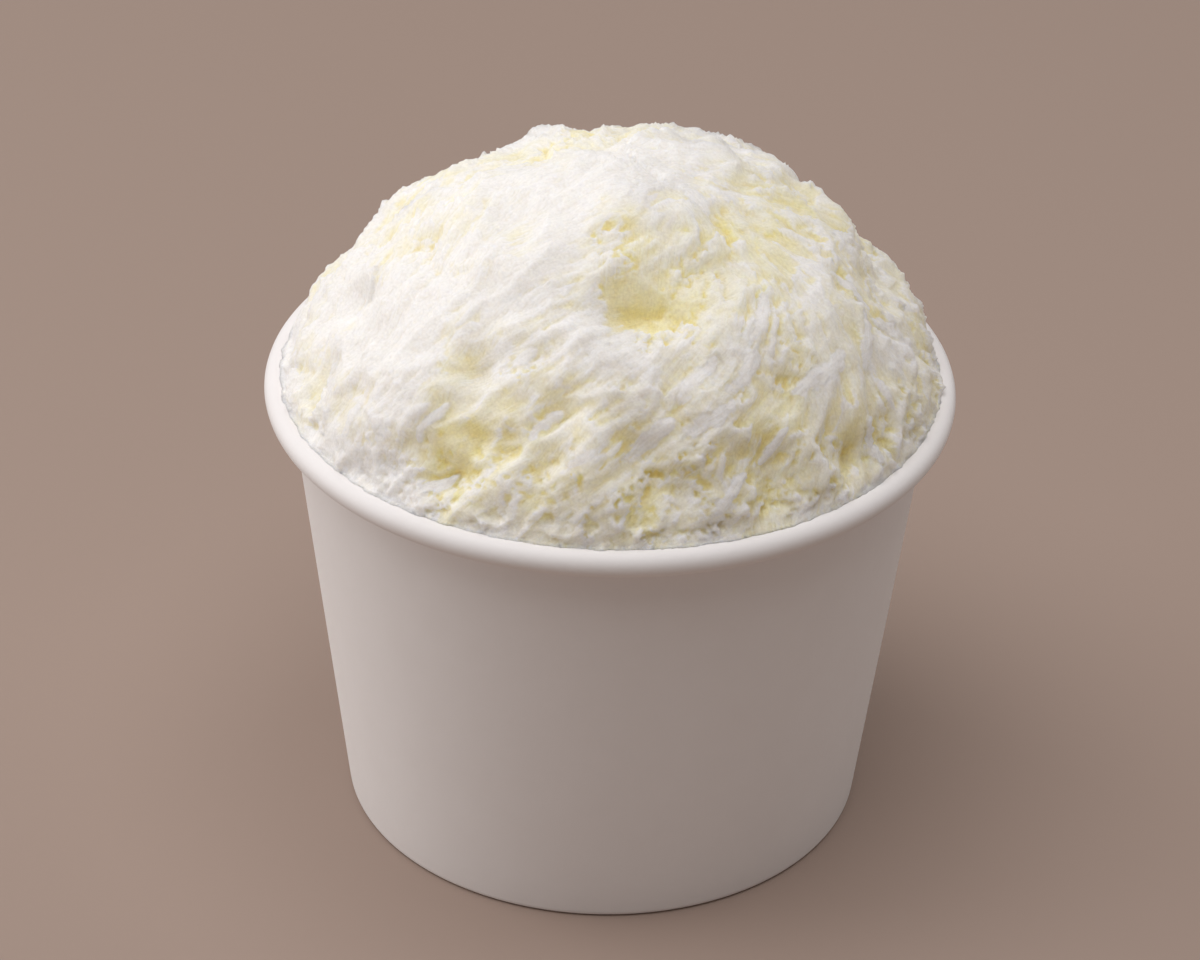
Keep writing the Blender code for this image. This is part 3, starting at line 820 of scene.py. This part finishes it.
class IceGrain(SharedPattern):
    """Fine powder of ice crystals, as a height from 0 to 1."""

    name = "ice_grain"
    inputs = ("Scale",)
    crystals = -0.45
    lift = 0.22

    def wire(self, sheet: NodeSheet, given: NodeOutputs) -> NodeSocket:
        """A fine cloud with rounded crystals in it."""
        place = sheet.add("ShaderNodeTexCoord").outputs["Object"]
        powder = sheet.add("ShaderNodeTexNoise", {
            "Vector": place, "Scale": given["Scale"], "Detail": 3.0, "Roughness": 0.65})
        grains = sheet.add("ShaderNodeTexVoronoi", {"Vector": place, "Scale": given["Scale"]})
        blend = sheet.math("MULTIPLY_ADD", grains.outputs["Distance"], self.crystals,
                           powder.outputs["Fac"])
        return sheet.math("ADD", blend, self.lift)


class Wisps(SharedPattern):
    """Fine bright fibres that follow the piece's own fibre coordinates, from 0 to 1."""

    name = "wisps"
    inputs = ("Size", "Stretch")

    def wire(self, sheet: NodeSheet, given: NodeOutputs) -> NodeSocket:
        """Two sets of fibres, mixed where their patches meet."""
        across = sheet.math("DIVIDE", 1.0, given["Size"])
        along = sheet.math("DIVIDE", across, given["Stretch"])
        scale = sheet.add("ShaderNodeCombineXYZ", {"X": along, "Y": across, "Z": across})
        fibres = []
        for name in ("fibre_a", "fibre_b"):
            spot = sheet.add("ShaderNodeVectorMath", {
                0: sheet.stored(name, "Vector"), 1: scale.outputs["Vector"]}, operation="MULTIPLY")
            fibres.append(sheet.add("ShaderNodeTexNoise", {
                "Vector": spot.outputs["Vector"], "Scale": 1.0, "Detail": 3.0, "Roughness": 0.6,
                "Distortion": 0.5}).outputs["Fac"])
        return sheet.add("ShaderNodeMix", {
            "Factor": sheet.stored("fibre_mix"), "A": fibres[0], "B": fibres[1]},
            data_type="FLOAT").outputs["Result"]


class TornSheet(SharedPattern):
    """Whiteness after one layer of sheets is laid over what is below, with a frayed edge."""

    name = "torn_sheet"
    inputs = ("Below", "Field", "Fray", "Width", "Glow")
    output = "Whiteness"

    def wire(self, sheet: NodeSheet, given: NodeOutputs) -> NodeSocket:
        """The sheet's own whiteness where its field is high, else what is below."""
        cover = sheet.add("ShaderNodeMapRange", {
            "Value": sheet.math("ADD", given["Field"], given["Fray"]),
            "From Min": sheet.math("MULTIPLY", given["Width"], -1.0),
            "From Max": given["Width"]}, interpolation_type="SMOOTHSTEP")
        return sheet.add("ShaderNodeMix", {
            "Factor": cover.outputs["Result"], "A": given["Below"], "B": given["Glow"]},
            data_type="FLOAT").outputs["Result"]


@dataclass(frozen=True)
class YogurtFinish:
    """Shaved frozen yogurt: frosty white wisps over an inside that is pale, and yellow where the
    tint mask says: painted shade in dips, hollows, pits and under torn edges, and yellower soft
    patches. A shade is laid between the fibres and the crystals."""

    name: str
    white: tuple = (0.975, 0.945, 0.915, 1.0)
    pale: tuple = (0.975, 0.92, 0.75, 1.0)
    yellow: tuple = (0.97, 0.86, 0.45, 1.0)
    roughness: float = 0.62
    shine: float = 0.3
    glow: float = 1.0
    glow_radius: tuple = (1.0, 0.96, 0.86)
    glow_scale: float = 5.5 * MM
    edge_width: float = 0.9
    fray_scale: float = 1500.0
    fray: float = 0.8
    wisp_size: float = 0.32
    wisp_stretch: float = 10.0
    wisps: float = 2.2
    combing: float = 0.6
    grain_scale: float = 2400.0
    grain_height: float = 0.10 * MM
    wisp_height: float = 0.13 * MM
    shade: float = 0.18
    shade_levels: tuple = (0.60, 1.40)
    fibre_weight: float = 1.3

    def make(self) -> Material:
        """Build the material; its colours follow the masks stored in the heap's mesh."""
        material, sheet, shader = new_material(self.name)
        grain = IceGrain().use(sheet, {"Scale": self.grain_scale})
        wisps = Wisps().use(sheet, {"Size": self.wisp_size, "Stretch": self.wisp_stretch})
        # Yellow where the tint mask holds painted shade of dips, hollows, pits and torn edges, and the
        # yogurt's yellower patches.
        inside = sheet.blend(sheet.stored("tint_and_painted_shade"), self.pale, self.yellow)
        colour = sheet.blend(self.fringe(sheet, wisps), inside, self.white)
        combed = sheet.add("ShaderNodeBump", {"Distance": self.wisp_height, "Height": wisps})
        powder = sheet.add("ShaderNodeBump", {
            "Distance": self.grain_height, "Height": grain, "Normal": combed.outputs["Normal"]})
        sheet.feed(shader, {
            "Roughness": self.roughness, "Subsurface Weight": self.glow,
            "Subsurface Radius": self.glow_radius, "Subsurface Scale": self.glow_scale,
            "Specular IOR Level": self.shine, "Normal": powder.outputs["Normal"],
            "Base Color": self.shaded(sheet, colour, wisps, grain)})
        return material

    def shaded(self, sheet: NodeSheet, colour: NodeSocket, wisps: NodeSocket,
               grain: NodeSocket) -> NodeSocket:
        """The colour, a little darker between the fibres and the crystals."""
        low, high = self.shade_levels
        level = sheet.add("ShaderNodeMapRange", {
            "Value": sheet.math("MULTIPLY_ADD", wisps, self.fibre_weight, grain),
            "From Min": low, "From Max": high, "To Min": 1.0 - self.shade, "To Max": 1.0})
        return sheet.add("ShaderNodeVectorMath", {0: colour, "Scale": level.outputs["Result"]},
                         operation="SCALE").outputs["Vector"]

    def fringe(self, sheet: NodeSheet, wisps: NodeSocket) -> NodeSocket:
        """Whiteness of the surface: frosted white with painted light near the brim and painted shade in
        hollows, the layers of sheets over it with painted highlights on torn edges, and combed fibres.
        """
        fray = IceGrain().use(sheet, {"Scale": self.fray_scale})
        crumbs = sheet.math("MULTIPLY_ADD", fray, self.fray, -0.5 * (self.fray + self.wisps))
        fibres = sheet.math("MULTIPLY_ADD", wisps, self.wisps, crumbs)
        fields, glows = (
            sheet.add("ShaderNodeSeparateXYZ", {"Vector": sheet.stored(name, "Vector")}).outputs
            for name in ("sheets", "glows"))
        # Frosted whiteness, with painted light near the brim and painted shade in hollows.
        white = sheet.stored("frost_and_painted_light")
        # Each layer's whiteness carries a painted highlight along its torn edges.
        layers = [(fields[axis], glows[axis]) for axis in "ZYX"] + [(sheet.stored("strips"), 1.0)]
        for field, glow in layers:
            white = TornSheet().use(sheet, {
                "Below": white, "Field": field, "Fray": fibres, "Width": self.edge_width, "Glow": glow})
        combed = sheet.math("MULTIPLY_ADD", wisps, self.combing, white)
        return sheet.math("SUBTRACT", combed, 0.5 * self.combing, use_clamp=True)


@dataclass(frozen=True)
class PaperFinish:
    """Uncoated white board with a faint cloudy mottle and fine fibres."""

    name: str = "white_paper_board"
    light: tuple = (0.87, 0.85, 0.85, 1.0)
    dark: tuple = (0.84, 0.815, 0.81, 1.0)
    roughness: float = 0.60
    shine: float = 0.35
    mottle_scale: float = 160.0
    fibre_scale: float = 900.0
    fibre_height: float = 0.03 * MM

    def make(self) -> Material:
        """Build the material."""
        material, sheet, shader = new_material(self.name)
        place = sheet.add("ShaderNodeTexCoord").outputs["Object"]
        mottle = sheet.add("ShaderNodeTexNoise", {
            "Vector": place, "Scale": self.mottle_scale, "Detail": 6.0})
        fibre = sheet.add("ShaderNodeTexNoise", {
            "Vector": place, "Scale": self.fibre_scale, "Detail": 5.0})
        bump = sheet.add("ShaderNodeBump", {
            "Distance": self.fibre_height, "Height": fibre.outputs["Fac"]})
        sheet.feed(shader, {
            "Roughness": self.roughness, "Specular IOR Level": self.shine,
            "Base Color": sheet.blend(mottle.outputs["Fac"], self.dark, self.light),
            "Normal": bump.outputs["Normal"]})
        return material


# ---- the tub

def arc(middle: tuple, radius: float, turns: tuple) -> list:
    """Points of an arc round a middle, at turns in degrees."""
    spins = [math.radians(turn) for turn in turns]
    return [(middle[0] + radius * math.cos(s), middle[1] + radius * math.sin(s)) for s in spins]


def coat(piece: Object, *finishes: Material) -> None:
    """Give a piece its materials in place of any others, and report it."""
    piece.data.materials.clear()
    for finish in finishes:
        piece.data.materials.append(finish)
    LOG.info("%s: %d faces", piece.name, len(piece.data.polygons))


@dataclass
class PaperTub:
    """The paper tub: a side wall rolled over at the rim and folded in at the foot, and its base.

    Turns are in degrees, and shares are of the straight stretches between them.
    """

    height: float = 67.1 * MM
    rim_radius: float = 48.0 * MM
    bead_radius: float = 1.85 * MM
    foot_radius: float = 36.9 * MM
    slope: float = 0.118
    paper: float = 0.42 * MM
    gap: float = 0.30 * MM
    hem_height: float = 6.0 * MM
    base_level: float = 7.0 * MM
    skirt_foot: float = 1.9 * MM
    bend: float = 0.8 * MM
    hem_turns: tuple = (*range(180, 361, 20),)
    roll_turns: tuple = (173, *range(160, -131, -15))
    bend_turns: tuple = (0, 22.5, 45, 67.5, 90)
    wall_shares: tuple = (0.08, 0.25, 0.5, 0.75, 0.92)
    base_shares: tuple = (0.9, 0.6, 0.3, 0.05)
    segments: int = 192
    crease: float = 50.0
    wobble: float = 0.10 * MM
    # Waves of the wobble round the rim: their number, start and weight.
    waves: tuple = ((3, 0.6, 0.6), (7, 2.1, 0.3), (17, 0.0, 0.1))

    def wall_path(self) -> list:
        """Middle line of the wall's paper, from the hem over the foot to the end of the roll."""
        pitch = self.paper + self.gap
        level = pitch + self.paper / 2
        centre = self.foot_radius - self.paper / 2 - pitch + self.slope * level
        points = [(centre - pitch + self.slope * (self.hem_height - level), self.hem_height)]
        points += arc((centre, level), pitch, self.hem_turns)
        for share in self.wall_shares:
            rise = level + share * (self.height - self.bead_radius - level)
            points.append((self.foot_radius - self.paper / 2 + self.slope * rise, rise))
        bead = (self.rim_radius - self.bead_radius, self.height - self.bead_radius)
        return points + arc(bead, self.bead_radius - self.paper / 2, self.roll_turns)

    def base_path(self) -> list:
        """Middle line of the base's paper, from the skirt's foot to near the axis."""
        inset = self.paper * 1.5 + self.gap
        disc = self.base_level + self.paper / 2
        shoulder = self.foot_radius + self.slope * disc - inset
        lowest = self.foot_radius + self.slope * self.skirt_foot - inset
        points = [(lowest, self.skirt_foot)]
        points += arc((shoulder - self.bend, disc - self.bend), self.bend, self.bend_turns)
        return points + [(shoulder * share, disc) for share in self.base_shares]

    def turn_up(self, name: str, path: list) -> Object:
        """Turn a strip of paper from a ring that is extruded from point to point.

        Args:
            name: the piece's name.
            path: radius and level of each point of the paper's middle line.

        Returns:
            The turned shell, with no thickness yet.
        """
        clear_selection()
        radius, level = path[0]
        bpy.ops.mesh.primitive_circle_add(vertices=self.segments, radius=radius, location=(0, 0, level))
        piece = name_piece(name)
        bpy.ops.object.transform_apply(location=True)
        open_up(piece)
        for here, there in zip(path, path[1:]):
            bpy.ops.mesh.extrude_region_move()
            grow = there[0] / here[0]
            bpy.ops.transform.resize(value=(grow, grow, 1.0), center_override=(0, 0, here[1]))
            bpy.ops.transform.translate(value=(0, 0, there[1] - here[1]))
        bpy.ops.object.mode_set(mode="OBJECT")
        return piece

    def thicken(self, piece: Object) -> None:
        """Give a shell the paper's thickness, half to each side."""
        open_up(piece)
        bpy.ops.mesh.normals_make_consistent(inside=False)
        bpy.ops.object.mode_set(mode="OBJECT")
        skin = piece.modifiers.new("paper", "SOLIDIFY")
        skin.thickness, skin.offset, skin.use_even_offset = self.paper, 0.0, True
        bpy.ops.object.modifier_apply(modifier=skin.name)
        bpy.ops.object.shade_smooth_by_angle(angle=math.radians(self.crease))

    def build_wall(self, finish: Material) -> Object:
        """The side wall in one piece, with the rolled rim and the folded foot."""
        wall = self.turn_up("paper_wall", self.wall_path())
        self.thicken(wall)
        points = mesh_points(wall.data)
        spin = np.arctan2(points[:, 1], points[:, 0])
        reach = np.hypot(points[:, 0], points[:, 1])
        high = smooth_step(0.5 * self.height, self.height, points[:, 2])
        swing = sum(np.sin(count * spin + start) * weight for count, start, weight in self.waves)
        reach = reach - self.wobble * high * (1.0 + swing) / 2
        points[:, 0], points[:, 1] = reach * np.cos(spin), reach * np.sin(spin)
        set_mesh_points(wall.data, points)
        coat(wall, finish)
        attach(wall, "root")
        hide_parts("cup_wall")
        return wall

    def build_base(self, finish: Material) -> Object:
        """The recessed base with its skirt."""
        base = self.turn_up("paper_base", self.base_path())
        bpy.ops.object.mode_set(mode="EDIT")
        bpy.ops.mesh.edge_face_add()
        bpy.ops.object.mode_set(mode="OBJECT")
        self.thicken(base)
        coat(base, finish)
        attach(base, "root")
        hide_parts("cup_base")
        return base


# ---- the yogurt

@dataclass
class YogurtHeap:
    """The yogurt in one piece: its torn heap, the neck that lies on the roll, and the filling.

    Neck turns are degrees round the roll, each with how uneven it is.
    """

    form: HeapForm
    torn: TornFinish
    strips: Strips
    strip_edge: float = 3.0
    sphere_cuts: int = 8
    quick_cuts: int = 7
    samples: int = 600
    patch_seeds: tuple = (91, 92)
    patch_blend: tuple = (0.2, 2.5)
    neck_radius: float = 1.79 * MM
    neck_turns: tuple = ((96, 14), (118, 0), (138, 0), (158, 0), (180, 0))
    neck_lumps: float = 2.4 * MM
    foot_steps: tuple = (0.6 * MM, 2.6 * MM)
    foot_edge: float = 0.8 * MM
    foot_seed: float = 7.0

    def falls_of(self, shares: Array) -> Array:
        """Angles down from the top at shares of the way down to the brim, by length."""
        fine = np.linspace(0.0, self.form.brim, self.samples)
        left = np.full_like(fine, 180.0)
        steps = np.linalg.norm(np.diff(self.form.dome(left, fine), axis=0), axis=1)
        length = np.concatenate([[0.0], np.cumsum(steps)])
        return np.interp(shares * length[-1], length, fine)

    def half_ball(self) -> Object:
        """The upper half of a ball of even triangles, with a radius of 1."""
        clear_selection()
        cuts = self.sphere_cuts
        bpy.ops.mesh.primitive_ico_sphere_add(subdivisions=cuts, radius=1.0, location=(0, 0, 0))
        heap = name_piece("yogurt_heap")
        open_up(heap)
        bpy.ops.mesh.bisect(plane_co=(0, 0, 0), plane_no=(0, 0, 1), clear_inner=True)
        bpy.ops.object.mode_set(mode="OBJECT")
        return heap

    def tear(self, mesh: Mesh) -> None:
        """Shape a half ball into the torn heap, and store what its finish reads."""
        ball = mesh_points(mesh)
        azimuths = np.degrees(np.arctan2(ball[:, 1], ball[:, 0]))
        tilt = np.degrees(np.arccos(np.clip(ball[:, 2] / np.linalg.norm(ball, axis=1), -1, 1)))
        falls = self.falls_of(np.clip(tilt / 90.0, 0, 1))
        ground = self.torn.ground(self.form, azimuths, falls,
                                  np.array([edge.vertices[:] for edge in mesh.edges]))
        strips = self.strips.lay(self.form, ground.points)
        fine, sheets, glows, tint_and_painted_shade, frost_and_painted_light = self.torn.relief(ground, strips)
        outward, _, _ = self.form.directions(azimuths, falls)
        height = self.form.main_relief(azimuths, falls) + fine
        set_mesh_points(mesh, ground.points + outward * height[:, None])
        kept = {"sheets": sheets, "glows": glows, "tint_and_painted_shade": tint_and_painted_shade, "frost_and_painted_light": frost_and_painted_light,
                "strips": strips[0] * self.strip_edge}
        shares = []
        for name, seed in zip(("fibre_a", "fibre_b"), self.patch_seeds):
            local, margin = self.torn.fibre_patches(self.form, ground.points, seed)
            kept[name] = np.where((strips[0] > STRIP_LEVEL)[:, None], strips[2], local)
            shares.append(smooth_step(*self.patch_blend, margin) + 0.001)
        kept["fibre_mix"] = shares[1] / (shares[0] + shares[1])
        for name, values in kept.items():
            store(mesh, name, values)

    def build_heap(self, finishes: list) -> Object:
        """The heap and the yogurt under it, down to the tub's base.

        Args:
            finishes: the materials, from the heap's foot up.

        Returns:
            The piece.
        """
        heap = self.half_ball()
        self.tear(heap.data)
        self.sink_into_tub(heap)
        take_up(heap)
        bpy.ops.object.shade_smooth()
        coat(heap, *finishes)
        self.band(heap.data)
        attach(heap, "root")
        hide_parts("frozen_yogurt")
        return heap

    def band(self, mesh: Mesh) -> None:
        """Give the foot of the heap the finishes with less glow, with ragged edges between."""
        middles = np.empty(len(mesh.polygons) * 3)
        mesh.polygons.foreach_get("center", middles)
        middles = middles.reshape(-1, 3)
        above = middles[:, 2] - PaperTub().height
        low = np.nonzero((above > -self.foot_edge) & (above < 2.0 * self.foot_steps[-1]))[0]
        bands = np.where(above > 0.0, len(self.foot_steps), 0).astype(np.int32)
        ragged = above[low] + self.foot_edge * cloud(middles[low], self.foot_edge, self.foot_seed)
        bands[low] = np.searchsorted(self.foot_steps, ragged)
        mesh.polygons.foreach_set("material_index", bands)

    def neck(self, spin: float, turn: float, uneven: float) -> tuple:
        """Radius and level of a place on the roll, at an uneven turn round it in degrees."""
        tub = PaperTub()
        spot = Vector((math.cos(spin), math.sin(spin), 0.0)) * (tub.rim_radius / self.neck_lumps)
        wave = noise.noise(spot) + 0.6 * noise.noise(spot * 3.1)
        middle = (tub.rim_radius - tub.bead_radius, tub.height - tub.bead_radius)
        return arc(middle, self.neck_radius, (turn + uneven * wave,))[0]

    def sink_into_tub(self, heap: Object) -> None:
        """Lay the heap's edge on the roll, carry it down the wall, and close it below."""
        tub = PaperTub()
        floor = tub.base_level + tub.paper + tub.gap
        inside, level = self.neck(0.0, 180.0, 0.0)
        foot = inside - tub.slope * (level - floor)
        open_up(heap)
        bpy.ops.mesh.select_all(action="DESELECT")
        bpy.ops.mesh.select_non_manifold()
        for turn, uneven in (*self.neck_turns, (None, 0.0)):
            bpy.ops.mesh.extrude_region_move()
            shell = bmesh.from_edit_mesh(heap.data)
            for vert in (v for v in shell.verts if v.select):
                spin = math.atan2(vert.co.y, vert.co.x)
                radius, level = self.neck(spin, turn, uneven) if turn else (foot, floor)
                vert.co = (radius * math.cos(spin), radius * math.sin(spin), level)
            bmesh.update_edit_mesh(heap.data)
        bpy.ops.mesh.edge_face_add()
        bpy.ops.mesh.select_all(action="SELECT")
        bpy.ops.mesh.normals_make_consistent(inside=False)
        bpy.ops.object.mode_set(mode="OBJECT")


# ---- studio

@dataclass
class Studio:
    """Plain pale floor, soft light, and the camera at the photographed angle.

    A lamp is a name, a place, a width in metres, a power in watts and a colour.
    """

    focal: float = 126.88
    sensor: float = 36.0
    clip: tuple = (0.01, 20.0)
    distance: float = 596.5 * MM
    pitch: float = 0.5635
    roll: float = 0.0223
    target: tuple = (-1.14 * MM, 0.0, 48.88 * MM)
    floor_size: float = 8.0
    floor_colour: tuple = (0.36, 0.27, 0.225, 1.0)
    floor_roughness: float = 0.7
    lamp_aim: tuple = (0, 0, 0.06)
    lamps: tuple = (
        ("key", (-1.05, 0.22, 0.38), 1.1, 6.9, (1.0, 0.985, 0.97)),
        ("above", (-0.12, -0.15, 1.20), 1.3, 10.3, (1.0, 0.985, 0.99)),
        ("fill", (0.90, 0.50, 0.50), 0.8, 1.5, (1.0, 1.0, 1.0)),
    )
    room_colour: tuple = (1.0, 0.92, 0.87, 1.0)
    room_light: float = 0.23

    def set_camera(self) -> None:
        """Add the camera, looking at the tub from the front and above."""
        forward = Vector((0, math.cos(self.pitch), -math.sin(self.pitch)))
        level_up = Vector((0, math.sin(self.pitch), math.cos(self.pitch)))
        right = Vector((1, 0, 0)) * math.cos(self.roll) + level_up * math.sin(self.roll)
        up = level_up * math.cos(self.roll) - Vector((1, 0, 0)) * math.sin(self.roll)
        lens = bpy.data.cameras.new("camera")
        lens.lens, lens.sensor_width = self.focal, self.sensor
        lens.clip_start, lens.clip_end = self.clip
        camera = bpy.data.objects.new("camera", lens)
        turn = Matrix((right, up, -forward)).transposed().to_4x4()
        camera.matrix_world = Matrix.Translation(Vector(self.target) - forward * self.distance) @ turn
        bpy.context.scene.collection.objects.link(camera)
        bpy.context.scene.camera = camera

    def lay_floor(self) -> None:
        """A wide plain floor under the tub."""
        clear_selection()
        bpy.ops.mesh.primitive_plane_add(size=self.floor_size, location=(0, 0, 0))
        floor = name_piece("floor")
        material, sheet, shader = new_material("pale_floor")
        sheet.feed(shader, {"Base Color": self.floor_colour, "Roughness": self.floor_roughness})
        floor.data.materials.append(material)

    def light_up(self) -> None:
        """Hang the round soft lamps, aimed at the tub, and light the room."""
        for name, place, size, power, colour in self.lamps:
            lamp = bpy.data.lights.new(name, "AREA")
            lamp.shape = "DISK"
            lamp.size, lamp.energy, lamp.color = size, power, colour
            item = bpy.data.objects.new(name, lamp)
            item.location = place
            aim = Vector(self.lamp_aim) - Vector(place)
            item.rotation_euler = aim.to_track_quat("-Z", "Y").to_euler()
            bpy.context.scene.collection.objects.link(item)
        world = bpy.data.worlds.new("room")
        bpy.context.scene.world = world
        world.use_nodes = True
        back = world.node_tree.nodes["Background"]
        NodeSheet(world.node_tree).feed(back, {"Color": self.room_colour, "Strength": self.room_light})
        bpy.context.scene.view_settings.view_transform = "Standard"


def main() -> None:
    """Build the pieces in order."""
    logging.basicConfig(level=logging.INFO, format="%(message)s")
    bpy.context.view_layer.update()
    studio = Studio()
    studio.set_camera()
    studio.lay_floor()
    studio.light_up()
    paper = PaperFinish().make()
    tub = PaperTub()
    tub.build_wall(paper)
    tub.build_base(paper)
    heap = YogurtHeap(HeapForm(), TornFinish(), Strips())
    heap.build_heap([
        YogurtFinish("torn_yogurt_at_the_rim", glow_scale=0.5 * MM).make(),
        YogurtFinish("torn_yogurt_near_the_rim", glow_scale=1.8 * MM).make(),
        YogurtFinish("torn_yogurt").make()])


if __name__ == "__main__":
    main()
